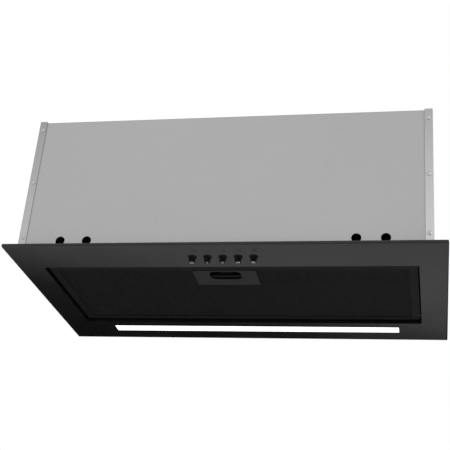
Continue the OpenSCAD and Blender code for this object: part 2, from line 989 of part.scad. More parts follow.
module motor_shell() {
  color(bright) translate([0, blower_y, blower_z]) {
    difference() {
      rod_x(shell_x0, shell_x1, 0, 0, shell_r);
      rod_x(shell_x0 + shell_t, shell_x1 + over, 0, 0, shell_r - shell_t);
      rod_x(shell_x0 - over, shell_x0 + 3, 0, 0, shaft_r + 1);
      for (a = [0:45:315]) rotate([a, 0, 0])
        rod_x(shell_x0 - over, shell_x0 + 3, 28, 0, 5);
    }
    bearing_seat(shell_x0 + shell_t);
  }
}

module stator_core() {
  color(grey) translate([0, blower_y, blower_z]) difference() {
    rod_x(stator_x0, stator_x1, 0, 0, shell_r - shell_t);
    rod_x(stator_x0 - over, stator_x1 + over, 0, 0, rotor_r + air_gap);
    for (a = [0:30:330]) rotate([a, 0, 0])
      rod_x(stator_x0 - over, stator_x1 + over, 28, 0, 3.5);
  }
}

module stator_windings() {
  color(copper) translate([0, blower_y, blower_z]) {
    tube_x(stator_x0 - 5, stator_x0, 0, 0, 24, 33);
    tube_x(stator_x1, stator_x1 + 5, 0, 0, 24, 33);
    for (a = [0:30:330]) rotate([a, 0, 0])
      rod_x(stator_x0 - over, stator_x1 + over, 28, 0, 3.3);
  }
}

module bearings() {
  color(bright) for (x0 = [shell_x0 + shell_t, shell_x1 - bearing_w_x])
    difference() {
      tube_x(x0, x0 + bearing_w_x, blower_y, blower_z, shaft_r + 0.06, bearing_r);
      tube_x(x0 - over, x0 + 0.6, blower_y, blower_z, 6, 9);
      tube_x(x0 + bearing_w_x - 0.6, x0 + bearing_w_x + over, blower_y, blower_z, 6, 9);
    }
}

module motor_shaft() {
  color(bright) rod_x(-16, shell_x1 - 0.5, blower_y, blower_z, shaft_r);
}

module rotor_core() {
  color(grey) tube_x(stator_x0, stator_x1, blower_y, blower_z, shaft_r, rotor_r);
}

// A flat blade in the YZ plane, which leans forward from its root to its tip
module blade() {
  lean = 11;
  thick = 0.9;
  root = [50, 0];
  tip = (impeller_r - 0.5) * [cos(lean), sin(lean)];
  polygon([root, tip, tip + [0, thick], root + [0, thick]]);
}

module impeller() {
  half = impeller_w / 2;
  color(grey) translate([0, blower_y, blower_z]) {
    difference() {
      union() {
        rod_x(-disc_t / 2, disc_t / 2, 0, 0, impeller_r);
        rod_x(-15, disc_t / 2, 0, 0, 9);
      }
      rod_x(-16, disc_t, 0, 0, shaft_r);
    }
    tube_x(-half, ring_t - half, 0, 0, impeller_r - ring_t, impeller_r);
    tube_x(half - ring_t, half, 0, 0, impeller_r - ring_t, impeller_r);
  }
}

// The blades stand between the middle disc and the end rings
module impeller_blades() {
  reach = impeller_w / 2 - ring_t;
  color(grey) translate([0, blower_y, blower_z]) for (k = [0:blades - 1])
    rotate([360 * k / blades, 0, 0]) {
      along_x(-reach, -disc_t / 2) blade();
      along_x(disc_t / 2, reach) blade();
    }
}

// --- Electrical parts ---

module cable_gland() {
  box_in = top_in - box_t;
  color(plastic) difference() {
    union() {
      rod_z(gland_x, gland_y, box_in - 5, wrap_top + 8, gland_r);
      translate([gland_x, gland_y, wrap_top]) cylinder(r = 12, h = 4, $fn = 6);
      rod_z(gland_x, gland_y, wrap_top + 4, wrap_top + 10, 10);
      translate([gland_x, gland_y, wrap_top + 10]) cylinder(r1 = 10, r2 = 7.5, h = 3);
      translate([gland_x, gland_y, box_in - 4]) cylinder(r = 12, h = 4, $fn = 6);
    }
    rod_z(gland_x, gland_y, box_in - 6, wrap_top + 14, cord_r);
    rod_z(gland_x, gland_y, box_in - 6, wrap_top + 1, cord_r + 1);
  }
}

module junction_box() {
  color(grey) difference() {
    along_z(box_z0, top_in) round_rect(box_x0, box_x1, box_y0, box_y1, 4);
    along_z(box_z0 - over, top_in - box_t)
      round_rect(box_x0 + box_t, box_x1 - box_t, box_y0 + box_t, box_y1 - box_t, 4 - box_t);
    rod_z(gland_x, gland_y, top_in - box_t - over, top_in + over, gland_r + hole_play);
  }
}

module junction_box_lid() {
  color(grey) along_z(box_z0 - box_t, box_z0) round_rect(box_x0, box_x1, box_y0, box_y1, 4);
}

module terminal_block() {
  top = top_in - box_t;
  color(lit) difference() {
    block(box_x0 + 44 - 20, box_x0 + 44 + 20, box_y0 + 3, box_y0 + 19, top - 16, top);
    for (k = [-1:1], y = [box_y0 + 7, box_y0 + 15])
      rod_z(box_x0 + 44 + 12 * k, y, top - 17, top - 8, 2.5);
  }
}

module capacitor() {
  color(bright) rod_x(cap_x0, cap_x1, cap_y, cap_z, cap_r);
}

module capacitor_clip() {
  x0 = cap_x0 + 20;
  x1 = cap_x0 + 35;
  color(steel) {
    tube_x(x0, x1, cap_y, cap_z, cap_r, cap_r + 1);
    block(x0, x1, cap_y - 4, cap_y + 4, cap_z + cap_r + 0.5, top_in);
    block(x0, x1, cap_y - 12, cap_y + 12, top_in - 1, top_in);
  }
}

module led_driver() {
  color(lit) along_z(driver_z0, top_in) round_rect(driver_x0, driver_x1, 240, 290, 3);
}

// A lead along straight runs between its points, round at each corner
module lead(points) {
  for (k = [1:len(points) - 1]) {
    run = points[k] - points[k - 1];
    translate(points[k - 1])
      rotate([0, acos(run[2] / norm(run)), atan2(run[1], run[0])]) cylinder(r = lead_r, h = norm(run));
  }
  for (k = [1:len(points) - 2])
    translate(points[k]) sphere(lead_r);
}

module wiring() {
  trunk_x = box_x0 + 10;
  low_z = 10;
  channel_lead_x = driver_x0 + 40;
  channel_lead_y = light_y0 + 1.5;
  color(plastic) {
    lead([
      [trunk_x, box_y0, 170], [trunk_x, button_y, 170], [trunk_x, button_y, low_z],
      [button_x + block_x, button_y, low_z]
    ]);
    lead([
      [trunk_x, blower_y, 170], [trunk_x, blower_y, blower_z],
      [scroll_x + grommet_h + bracket_t, blower_y, blower_z]
    ]);
    lead([[box_x0, 265, 190], [driver_x1, 265, 190]]);
    lead([
      [channel_lead_x, 290, 190], [channel_lead_x, channel_lead_y + 10, 190],
      [channel_lead_x, channel_lead_y + 10, 20], [channel_lead_x, channel_lead_y, 20],
      [channel_lead_x, channel_lead_y, channel_top - 2]
    ]);
    lead([[cap_x1, cap_y, 175], [box_x0, cap_y, 175]]);
  }
}

fascia();
housing_wrap();
left_side_panel();
right_side_panel();
front_rivets();
rear_rivets();
top_rivets();
fascia_nuts();
filter_brackets();
latch_keeper();
outlet_gasket();
outlet_collar();
collar_screws();
damper_rod();
damper_flap_front();
damper_flap_rear();
cable_gland();
junction_box();
junction_box_lid();
terminal_block();
capacitor();
capacitor_clip();
led_driver();
wiring();
scroll_left();
scroll_right();
scroll_screws();
inlet_guard();
motor_bracket();
motor_grommets();
motor_screws();
motor_shell();
stator_core();
stator_windings();
bearings();
impeller();
impeller_blades();
motor_shaft();
rotor_core();
switch_block();
switch_nuts();
button_collars();
button_springs();
placed_button(1);  // button_1
placed_button(2);  // button_2
placed_button(3);  // button_3
placed_button(4);  // button_4
placed_button(5);  // button_5
led_diffuser();
led_board();
led_chips();
led_channel();
filter_frame();
filter_front_mesh();
filter_core();
filter_rear_mesh();
filter_handle_plate();
filter_pins();
filter_latch();
latch_springs();
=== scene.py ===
"""The looks of a built-in range hood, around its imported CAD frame. Lengths are in metres."""

import json
import math

import bmesh
import bpy
from mathutils import Matrix, Quaternion, Vector


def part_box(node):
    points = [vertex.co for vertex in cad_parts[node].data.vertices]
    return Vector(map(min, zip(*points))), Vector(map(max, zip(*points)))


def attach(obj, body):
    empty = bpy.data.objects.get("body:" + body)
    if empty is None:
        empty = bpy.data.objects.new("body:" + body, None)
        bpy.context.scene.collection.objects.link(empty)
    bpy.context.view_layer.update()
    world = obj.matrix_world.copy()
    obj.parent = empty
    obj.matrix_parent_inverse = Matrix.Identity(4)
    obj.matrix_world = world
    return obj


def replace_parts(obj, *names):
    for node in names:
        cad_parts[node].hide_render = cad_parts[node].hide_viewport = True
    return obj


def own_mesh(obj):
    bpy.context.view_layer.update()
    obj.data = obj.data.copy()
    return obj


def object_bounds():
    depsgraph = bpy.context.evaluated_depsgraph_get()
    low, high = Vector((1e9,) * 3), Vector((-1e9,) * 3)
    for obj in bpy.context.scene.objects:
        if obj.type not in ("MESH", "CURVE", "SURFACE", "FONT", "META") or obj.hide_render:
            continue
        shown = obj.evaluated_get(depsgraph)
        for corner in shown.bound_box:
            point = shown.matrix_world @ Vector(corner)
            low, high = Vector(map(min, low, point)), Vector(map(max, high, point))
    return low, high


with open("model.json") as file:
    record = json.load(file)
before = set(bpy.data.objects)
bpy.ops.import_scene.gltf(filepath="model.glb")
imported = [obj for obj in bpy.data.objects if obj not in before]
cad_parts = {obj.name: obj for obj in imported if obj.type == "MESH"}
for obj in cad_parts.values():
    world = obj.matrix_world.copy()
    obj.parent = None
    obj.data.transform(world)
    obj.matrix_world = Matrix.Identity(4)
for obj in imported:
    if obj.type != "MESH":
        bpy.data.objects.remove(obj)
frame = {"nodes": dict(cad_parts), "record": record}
cad_low, cad_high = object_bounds()

MM = 0.001
BUTTON_NUMBERS = range(1, 6)


# --- Camera, world, lights and floor ---

AIM = Vector((-0.0010, 0.0475, 0.0513))
CAMERA_DISTANCE = 1.4
CAMERA_AZIMUTH = math.radians(12.98)
CAMERA_BELOW = math.radians(26.54)
CAMERA_ROLL = math.radians(5.14)
LENS_MM = 81.13

# the floor lies this far under the hood, and fades out between the two radii
FLOOR_DROP = 2.6
FLOOR_SOLID_R = 0.9
FLOOR_R = 3.8
FLOOR_SIDES = 128

# the middle of the dark side of the surroundings, and their grey from opposite it (0) to its middle (1)
DARK_SIDE = Vector((-0.22, 0.88, -0.42)).normalized()
SURROUNDINGS = ((0.0, 0.72), (0.60, 0.62), (0.72, 0.28), (0.82, 0.02), (1.0, 0.012))

# name, place, aim, width, height, watts, and turn about its own axis in degrees
SOFTBOXES = (
    ("key_light", (-0.5, -2.2, 1.3), (0, 0.1, 0.1), 2.4, 1.8, 4, 0),
    ("side_light", (2.4, -0.6, 0.9), (0, 0.1, 0.1), 0.9, 1.4, 6, 0),
    ("back_light", (-0.6, 2.6, 1.6), (0, 0.2, 0.1), 1.6, 1.0, 12, 0),
    ("low_light", (0.18, 0.545, -0.3), (0.18, 0.545, 1), 2.9, 0.85, 3.2, -26.6),
)


def make_camera():
    """The camera stands in front of the hood, below it and a little to the right, and looks up."""
    camera = bpy.data.objects.new("camera", bpy.data.cameras.new("camera"))
    bpy.context.scene.collection.objects.link(camera)
    camera.data.lens = LENS_MM
    camera.data.clip_start = 0.02
    camera.data.clip_end = 50
    level = math.cos(CAMERA_BELOW)
    sideways, forwards = math.sin(CAMERA_AZIMUTH), math.cos(CAMERA_AZIMUTH)
    back = Vector((sideways * level, -forwards * level, -math.sin(CAMERA_BELOW)))
    upright = (-back).to_track_quat("-Z", "Y").to_matrix().to_4x4()
    roll = Matrix.Rotation(CAMERA_ROLL, 4, "Z")
    camera.matrix_world = Matrix.Translation(AIM + back * CAMERA_DISTANCE) @ upright @ roll
    bpy.context.scene.camera = camera


def make_world():
    """White to the eye. For light and reflections it is bright, with a dark side low behind the hood."""
    world = bpy.data.worlds.new("studio")
    bpy.context.scene.world = world
    world.use_nodes = True
    tree = world.node_tree
    tree.nodes.clear()
    direction = tree.nodes.new("ShaderNodeTexCoord")
    towards_dark = tree.nodes.new("ShaderNodeVectorMath")
    towards_dark.operation = "DOT_PRODUCT"
    towards_dark.inputs[1].default_value = DARK_SIDE
    ramp = tree.nodes.new("ShaderNodeValToRGB")
    points = ramp.color_ramp.elements
    while len(points) < len(SURROUNDINGS):
        points.new(0.5)
    for point, (share, grey) in zip(points, SURROUNDINGS):
        point.position = share
        point.color = (grey, grey, grey, 1)
    spread = tree.nodes.new("ShaderNodeMapRange")
    spread.inputs["From Min"].default_value = -1.0
    spread.inputs["From Max"].default_value = 1.0
    light = tree.nodes.new("ShaderNodeBackground")
    seen = tree.nodes.new("ShaderNodeBackground")
    seen.inputs["Color"].default_value = (1, 1, 1, 1)
    path = tree.nodes.new("ShaderNodeLightPath")
    mix = tree.nodes.new("ShaderNodeMixShader")
    output = tree.nodes.new("ShaderNodeOutputWorld")
    join = tree.links.new
    join(direction.outputs["Generated"], towards_dark.inputs[0])
    join(towards_dark.outputs["Value"], spread.inputs["Value"])
    join(spread.outputs["Result"], ramp.inputs["Fac"])
    join(ramp.outputs["Color"], light.inputs["Color"])
    join(path.outputs["Is Camera Ray"], mix.inputs[0])
    join(light.outputs[0], mix.inputs[1])
    join(seen.outputs[0], mix.inputs[2])
    join(mix.outputs[0], output.inputs["Surface"])


def softbox(name, place, aim, width, height, watts, turn):
    """A wide area light that the camera doesn't see."""
    lamp = bpy.data.objects.new(name, bpy.data.lights.new(name, "AREA"))
    bpy.context.scene.collection.objects.link(lamp)
    lamp.data.shape = "RECTANGLE"
    lamp.data.size = width
    lamp.data.size_y = height
    lamp.data.energy = watts
    lamp.visible_camera = False
    lamp.location = place
    facing = (Vector(aim) - Vector(place)).to_track_quat("-Z", "Y")
    lamp.rotation_euler = (facing @ Quaternion((0, 0, 1), math.radians(turn))).to_euler()


def make_studio():
    """Plain soft light, and a round pale floor far below the hood."""
    bpy.context.scene.view_settings.view_transform = "Standard"
    make_world()
    for settings in SOFTBOXES:
        softbox(*settings)
    bpy.ops.mesh.primitive_circle_add(
        vertices=FLOOR_SIDES, radius=FLOOR_R, fill_type="NGON", location=(0, 0, cad_low.z - FLOOR_DROP)
    )
    floor = bpy.context.object
    floor.name = "floor"
    floor.data.materials.append(LOOKS["floor"])


# --- Materials ---

LOOKS = {}

BLACK_COAT = (0.0036, 0.0036, 0.0038)
SHEET_STEEL = (0.50, 0.50, 0.505)
SPANGLE_SCALE = 110
EVEN = (1, 1, 1)
LENGTHWISE = (0.05, 1, 1)

# a noise seldom leaves this span
NOISE_LOW = 0.3
NOISE_HIGH = 0.7

# how far the rounded normal agrees with the plain one, from the middle of a worn edge to beside it
WORN_MIDDLE = 0.75
WORN_SIDE = 0.995

# how open a place is, from a full crevice to a free surface, over which the painted crevice shade fades
CREVICE_OPEN = 0.4
FREE_OPEN = 0.95
CREVICE_SAMPLES = 6


class Look:
    """A node-based material, built step by step from what its surface is made of."""

    def __init__(self, name, colour, metallic, roughness, index=1.5):
        self.name = name
        self.material = bpy.data.materials.new(f"{name}_look")
        self.material.use_nodes = True
        self.tree = self.material.node_tree
        self.shader = self.tree.nodes["Principled BSDF"]
        self.shader.inputs["Metallic"].default_value = metallic
        self.shader.inputs["IOR"].default_value = index
        self.place = self.node("ShaderNodeTexCoord").outputs["Object"]
        self.colour = colour
        self.roughness = roughness
        self.normal = None

    def node(self, kind):
        return self.tree.nodes.new(kind)

    def join(self, out, into):
        self.tree.links.new(out, into)

    def feed(self, value, into):
        """Joins what varies over the surface to a socket, and sets what doesn't on the socket itself."""
        if isinstance(value, bpy.types.NodeSocket):
            self.join(value, into)
        else:
            into.default_value = value

    def stretched(self, scale):
        """Object coordinates scaled by a different amount along each axis."""
        mapping = self.node("ShaderNodeMapping")
        mapping.inputs["Scale"].default_value = scale
        self.join(self.place, mapping.inputs["Vector"])
        return mapping.outputs[0]

    def along(self, axis):
        """The distance along one of the object's own axes, in metres."""
        parts = self.node("ShaderNodeSeparateXYZ")
        self.join(self.place, parts.inputs[0])
        return parts.outputs[axis]

    def from_middle(self):
        """The distance from the object's origin, in metres."""
        length = self.node("ShaderNodeVectorMath")
        length.operation = "LENGTH"
        self.join(self.place, length.inputs[0])
        return length.outputs["Value"]

    def noise(self, scale, detail, stretch=EVEN):
        """A cloudy value, with scale patches a metre. They are longer along an axis that stretch shrinks."""
        noise = self.node("ShaderNodeTexNoise")
        noise.inputs["Scale"].default_value = scale
        noise.inputs["Detail"].default_value = detail
        self.join(self.stretched(stretch), noise.inputs["Vector"])
        return noise.outputs["Fac"]

    def cells(self, scale):
        """A value that differs from crystal to crystal, with scale crystals a metre."""
        cells = self.node("ShaderNodeTexVoronoi")
        cells.inputs["Scale"].default_value = scale
        self.join(self.place, cells.inputs["Vector"])
        grey = self.node("ShaderNodeSeparateColor")
        self.join(cells.outputs["Color"], grey.inputs[0])
        return grey.outputs[0]

    def ranged(self, value, low, high, start, end):
        """value, carried from start..end to low..high and kept within it."""
        span = self.node("ShaderNodeMapRange")
        span.inputs["From Min"].default_value = start
        span.inputs["From Max"].default_value = end
        span.inputs["To Min"].default_value = low
        span.inputs["To Max"].default_value = high
        self.join(value, span.inputs["Value"])
        return span.outputs["Result"]

    def vary(self, value, low, high, start=NOISE_LOW, end=NOISE_HIGH):
        """Multiplies the colour by low..high, as value goes from start to end."""
        mix = self.node("ShaderNodeVectorMath")
        mix.operation = "SCALE"
        self.feed(self.colour, mix.inputs[0])
        self.join(self.ranged(value, low, high, start, end), mix.inputs["Scale"])
        self.colour = mix.outputs[0]
        return self

    def smudge(self, value, low, high, start=NOISE_LOW, end=NOISE_HIGH):
        """Adds low..high to the roughness, as value goes from start to end."""
        more = self.node("ShaderNodeMath")
        more.operation = "ADD"
        more.use_clamp = True
        self.feed(self.roughness, more.inputs[0])
        self.join(self.ranged(value, low, high, start, end), more.inputs[1])
        self.roughness = more.outputs[0]
        return self

    def bump(self, value, height, strength):
        """Raises the surface by value times height, over what is already there."""
        bump = self.node("ShaderNodeBump")
        bump.inputs["Strength"].default_value = strength
        bump.inputs["Distance"].default_value = height
        self.join(value, bump.inputs["Height"])
        if self.normal is not None:
            self.join(self.normal, bump.inputs["Normal"])
        self.normal = bump.outputs[0]
        return self

    def worn_edges(self, radius, lift):
        """Makes corners a little lighter, where hands and tools rub them."""
        rounded = self.node("ShaderNodeBevel")
        rounded.inputs["Radius"].default_value = radius
        plain = self.node("ShaderNodeNewGeometry")
        agree = self.node("ShaderNodeVectorMath")
        agree.operation = "DOT_PRODUCT"
        self.join(rounded.outputs[0], agree.inputs[0])
        self.join(plain.outputs["Normal"], agree.inputs[1])
        return self.vary(agree.outputs["Value"], lift, 1.0, WORN_MIDDLE, WORN_SIDE)

    def painted_crevice_shade(self, reach, dark):
        """Painted shade: darkens inner corners and the foot of steps, by how little of the surroundings they
        see.
        """
        open_sky = self.node("ShaderNodeAmbientOcclusion")
        open_sky.inputs["Distance"].default_value = reach
        open_sky.samples = CREVICE_SAMPLES
        return self.vary(open_sky.outputs["AO"], dark, 1.0, CREVICE_OPEN, FREE_OPEN)

    def glow(self, light, strength):
        """Light that the surface gives off by itself."""
        self.shader.inputs["Emission Color"].default_value = (*light, 1)
        self.shader.inputs["Emission Strength"].default_value = strength
        return self

    def finish(self):
        self.join(self.colour, self.shader.inputs["Base Color"])
        self.feed(self.roughness, self.shader.inputs["Roughness"])
        if self.normal is not None:
            self.join(self.normal, self.shader.inputs["Normal"])
        LOOKS[self.name] = self.material


def paint_looks():
    """Satin black powder coat on steel, and the thinner black on the filter's aluminium."""
    look = Look("black_paint", BLACK_COAT, 0.0, 0.18)
    look.bump(look.noise(650, 2), 0.02 * MM, 0.10).bump(look.noise(4200, 1), 0.005 * MM, 0.06)
    look.smudge(look.noise(7, 3), -0.03, 0.05).vary(look.noise(11, 4), 0.85, 1.15)
    look.worn_edges(0.6 * MM, 1.9).finish()

    look = Look("black_aluminium", BLACK_COAT, 0.0, 0.42, 1.2)
    look.bump(look.noise(900, 2), 0.03 * MM, 0.4).smudge(look.noise(16, 4), -0.06, 0.08)
    # painted shade in its inner corners and where it meets the opening's wall
    look.vary(look.noise(25, 3), 0.8, 1.25).painted_crevice_shade(8 * MM, 0.3).worn_edges(0.4 * MM, 2.2).finish()

    look = Look("mesh_black", (0.0038, 0.0038, 0.0039), 0.0, 0.38, 1.25)
    look.vary(look.noise(30, 5), 0.8, 1.25).smudge(look.noise(60, 3), -0.05, 0.08)
    look.bump(look.noise(2500, 2), 0.01 * MM, 0.4).finish()


def steel_looks():
    """Galvanised sheet with faint spangle, zinc fasteners, the motor's metals and bare aluminium. The sheet
    and the fasteners carry painted shade in their crevices, and the side panels a painted light gradient.
    """
    look = Look("galvanised_steel", SHEET_STEEL, 0.72, 0.46)
    look.vary(look.cells(SPANGLE_SCALE), 0.985, 1.015, 0.0, 1.0).vary(look.noise(9, 5), 0.99, 1.01)
    look.smudge(look.cells(SPANGLE_SCALE), -0.02, 0.02, 0.0, 1.0)
    look.smudge(look.noise(240, 3), -0.01, 0.02)
    # painted shade along the sheet's steps and seams
    look.bump(look.noise(420, 4), 0.01 * MM, 0.3).painted_crevice_shade(3 * MM, 0.35)
    look.worn_edges(0.5 * MM, 1.15).finish()

    # the side panels' sheet is lighter towards the bottom and towards the right: a painted light gradient
    look = Look("side_steel_painted_light", SHEET_STEEL, 0.72, 0.44)
    look.vary(look.along("Z"), 1.28, 0.88, 0.0, 0.2).vary(look.along("X"), 0.92, 1.12, -0.28, 0.28)
    look.vary(look.cells(SPANGLE_SCALE), 0.985, 1.015, 0.0, 1.0)
    look.smudge(look.cells(SPANGLE_SCALE), -0.02, 0.02, 0.0, 1.0)
    look.bump(look.noise(420, 4), 0.01 * MM, 0.3).worn_edges(0.5 * MM, 1.15).finish()

    look = Look("zinc_fasteners", (0.66, 0.67, 0.69), 1.0, 0.28)
    look.smudge(look.noise(800, 3), -0.08, 0.12).vary(look.noise(350, 3), 0.82, 1.08)
    # painted shade at the fasteners' rims and in their holes
    look.bump(look.noise(1500, 2), 0.02 * MM, 0.4).painted_crevice_shade(2 * MM, 0.35).worn_edges(0.3 * MM, 1.2).finish()

    look = Look("motor_steel", (0.52, 0.53, 0.53), 0.9, 0.36)
    look.vary(look.noise(40, 5), 0.86, 1.1).smudge(look.noise(90, 4), -0.05, 0.12)
    look.bump(look.noise(700, 3), 0.02 * MM, 0.4).worn_edges(0.6 * MM, 1.2).finish()

    look = Look("lamination_steel", (0.16, 0.155, 0.15), 0.8, 0.48)
    look.bump(look.noise(1400, 0, (1, 0.02, 0.02)), 0.12 * MM, 0.9).vary(look.noise(90, 4), 0.75, 1.25)
    look.finish()

    look = Look("copper_wire", (0.62, 0.23, 0.09), 1.0, 0.27)
    look.bump(look.noise(1600, 0, (0.03, 1, 1)), 0.1 * MM, 0.8).vary(look.noise(260, 3), 0.7, 1.15)
    look.finish()

    look = Look("capacitor_can", (0.72, 0.73, 0.74), 1.0, 0.24)
    look.smudge(look.noise(300, 2, LENGTHWISE), -0.05, 0.12).vary(look.noise(30, 4), 0.9, 1.05)
    look.bump(look.noise(900, 2, LENGTHWISE), 0.01 * MM, 0.4).worn_edges(0.6 * MM, 1.1).finish()

    look = Look("bare_aluminium", (0.62, 0.63, 0.64), 0.95, 0.36)
    look.vary(look.noise(45, 5), 0.72, 1.1).smudge(look.noise(140, 4), -0.08, 0.14)
    look.bump(look.noise(1200, 3), 0.03 * MM, 0.5).finish()


def moulded(name, colour, roughness, grain, wear=1.15, index=1.46):
    """Moulded plastic: a fine grain, slight shade differences and lighter corners."""
    look = Look(name, colour, 0.0, roughness, index)
    look.bump(look.noise(grain, 3), 0.04 * MM, 0.3).bump(look.noise(60, 2), 0.1 * MM, 0.08)
    look.vary(look.noise(35, 4), 0.9, 1.1).smudge(look.noise(120, 3), -0.05, 0.07)
    look.worn_edges(0.6 * MM, wear).finish()


def plastic_looks():
    """The mouldings, the rubber, the LED board and the buttons' signs."""
    moulded("black_plastic", (0.012, 0.012, 0.013), 0.46, 2600, 1.5)
    moulded("button_plastic", (0.0045, 0.0045, 0.0048), 0.34, 1800, 1.6, index=1.27)
    moulded("handle_plastic", (0.0060, 0.0060, 0.0061), 0.50, 3200, 1.35, index=1.38)
    moulded("scroll_plastic", (0.022, 0.023, 0.025), 0.50, 1500, 1.4)
    moulded("impeller_plastic", (0.11, 0.115, 0.125), 0.44, 1900, 1.2)
    moulded("grey_plastic", (0.20, 0.205, 0.21), 0.48, 2200)
    moulded("white_plastic", (0.72, 0.72, 0.70), 0.42, 2000, 1.05)
    moulded("cable_sheath", (0.014, 0.014, 0.015), 0.50, 900, 1.1)

    # the latch: the handle's plastic made darker, with painted shade in its recess, standing in for the shade
    # it sits in
    look = Look("latch_plastic_painted_shade", (0.003, 0.003, 0.003), 0.0, 0.5, 1.2)
    look.bump(look.noise(3200, 3), 0.04 * MM, 0.3).smudge(look.noise(120, 3), -0.05, 0.07)
    look.vary(look.noise(35, 4), 0.9, 1.1).painted_crevice_shade(12 * MM, 0.2).finish()

    look = Look("rubber", (0.016, 0.0155, 0.015), 0.0, 0.72)
    look.bump(look.noise(1300, 4), 0.06 * MM, 0.5).vary(look.noise(50, 5), 0.75, 1.3)
    look.smudge(look.noise(70, 3), -0.1, 0.1).finish()

    look = Look("led_board_green", (0.02, 0.13, 0.05), 0.0, 0.30)
    look.vary(look.noise(500, 2, (0.1, 1, 1)), 0.7, 1.3, 0.45, 0.55).bump(look.noise(1200, 2), 0.02 * MM, 0.4)
    look.finish()

    # the signs are white print and also glow a little, which is painted light: they are no lamp
    look = Look("sign_white_painted_glow", (0.45, 0.45, 0.46), 0.0, 0.45)
    look.vary(look.noise(900, 3), 0.9, 1.05).smudge(look.noise(400, 2), -0.05, 0.05)
    look.glow((1, 1, 1), 0.07).finish()


def floor_look():
    """Pale and plain, and clear at its rim."""
    look = Look("floor", (0.92, 0.92, 0.92), 0.0, 0.85)
    look.vary(look.noise(2.5, 4), 0.985, 1.015)
    solid = look.ranged(look.from_middle(), 1.0, 0.0, FLOOR_SOLID_R, FLOOR_R)
    look.join(solid, look.shader.inputs["Alpha"])
    look.finish()


def glowing(name, colour, roughness, light, strength, grain):
    """A lit surface with a fine grain and a colour that is a little uneven."""
    look = Look(name, colour, 0.0, roughness)
    look.bump(look.noise(grain, 3), 0.03 * MM, 0.3).vary(look.noise(200, 3), 0.94, 1.04)
    look.glow(light, strength).finish()


def make_looks():
    """Every material, by its name, in LOOKS."""
    paint_looks()
    steel_looks()
    plastic_looks()
    floor_look()
    glowing("white_diffuser", (0.9, 0.9, 0.88), 0.4, (1.0, 0.985, 0.95), 0.95, 1500)
    glowing("led_phosphor", (0.85, 0.72, 0.25), 0.3, (1.0, 0.93, 0.75), 2.5, 3000)


# --- CAD nodes ---

# nodes whose look differs a little from the rest of their slot: painted light on the side panels, and a
# darker latch with painted shade
OWN_LOOKS = {
    "left_side_panel": "side_steel_painted_light",
    "right_side_panel": "side_steel_painted_light",
    "filter_latch": "latch_plastic_painted_shade",
}

# how wide the bevel on a node's corners is, in millimetres
SOFTENED = {
    "fascia": 0.25,
    "filter_brackets": 0.2,
    "outlet_collar": 0.5,
    "cable_gland": 0.3,
    "junction_box": 0.6,
    "junction_box_lid": 0.5,
    "terminal_block": 0.3,
    "led_driver": 0.8,
    "led_channel": 0.2,
    "led_diffuser": 0.3,
    "switch_block": 0.4,
    "button_collars": 0.35,
    "filter_frame": 0.2,
    "filter_handle_plate": 0.25,
    "filter_latch": 0.3,
    "scroll_left": 0.4,
    "scroll_right": 0.4,
    "motor_bracket": 0.3,
    "motor_shell": 0.4,
    "capacitor": 0.4,
    **{f"button_{number}": 0.45 for number in BUTTON_NUMBERS},
}
BEVEL_FROM = math.radians(32)
WELD_WITHIN = 0.004 * MM


def soften(node, width_mm):
    """Rounds a CAD node's corners a little, so that they catch the light. Its own mesh stays as it is."""
    weld = node.modifiers.new("weld", "WELD")
    weld.merge_threshold = WELD_WITHIN
    bevel = node.modifiers.new("bevel", "BEVEL")
    bevel.width = width_mm * MM
    bevel.segments = 2
    bevel.limit_method = "ANGLE"
    bevel.angle_limit = BEVEL_FROM
    bevel.use_clamp_overlap = True
    normals = node.modifiers.new("normals", "WEIGHTED_NORMAL")
    normals.keep_sharp = True


def dress_nodes():
    """Gives every CAD node the look of its own slot in the record."""
    slots = {part["node"]: part["material_slot"] for part in frame["record"]["subparts"]}
    for name, node in frame["nodes"].items():
        node.data.materials.clear()
        node.data.materials.append(LOOKS[OWN_LOOKS.get(name, slots[name])])
    for name, width_mm in SOFTENED.items():
        soften(frame["nodes"][name], width_mm)
    # the satin sheet shows no mirror image of the buttons
    for name in ("button_collars", *(f"button_{number}" for number in BUTTON_NUMBERS)):
        frame["nodes"][name].visible_glossy = False


# --- Pieces made here ---

NO_SIZE = 0.001 * MM


def new_piece(name, points, faces, look, body):
    """An object that rides on a body. Faces and edges without any size are taken out of its mesh."""
    mesh = bpy.data.meshes.new(name)
    mesh.from_pydata(points, [], faces)
    tidied = bmesh.new()
    tidied.from_mesh(mesh)
    bmesh.ops.dissolve_degenerate(tidied, dist=NO_SIZE, edges=tidied.edges)
    tidied.to_mesh(mesh)
    tidied.free()
    mesh.materials.append(LOOKS[look])
    piece = bpy.data.objects.new(name, mesh)
    bpy.context.scene.collection.objects.link(piece)
    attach(piece, body)
    return piece


def held_within(x, y, low, high):
    """The point, moved to the nearest edge where it lies outside the rectangle."""
    return (min(max(x, low.x), high.x), min(max(y, low.y), high.y))


# a diamond's tips from its middle, and its sides as pairs of tips
TIPS = ((1, 0), (0, 1), (-1, 0), (0, -1))
SIDES = ((0, 1), (1, 2), (2, 3), (3, 0))


def diamond_middles(low, high, half, keep_out):
    """The middles of the staggered diamonds, counted in half pitches from the sheet's middle."""
    middle = (low + high) / 2
    reach = [math.ceil((high[k] - low[k]) / 2 / half[k]) + 1 for k in range(2)]
    for u in range(-reach[0], reach[0] + 1):
        for v in range(-reach[1], reach[1] + 1):
            x, y = middle.x + u * half[0], middle.y + v * half[1]
            across = low.x - half[0] < x < high.x + half[0]
            along = low.y - half[1] < y < high.y + half[1]
            kept_out = keep_out[0].x < x < keep_out[1].x and keep_out[0].y < y < keep_out[1].y
            if (u + v) % 2 == 0 and across and along and not kept_out:
                yield u, v


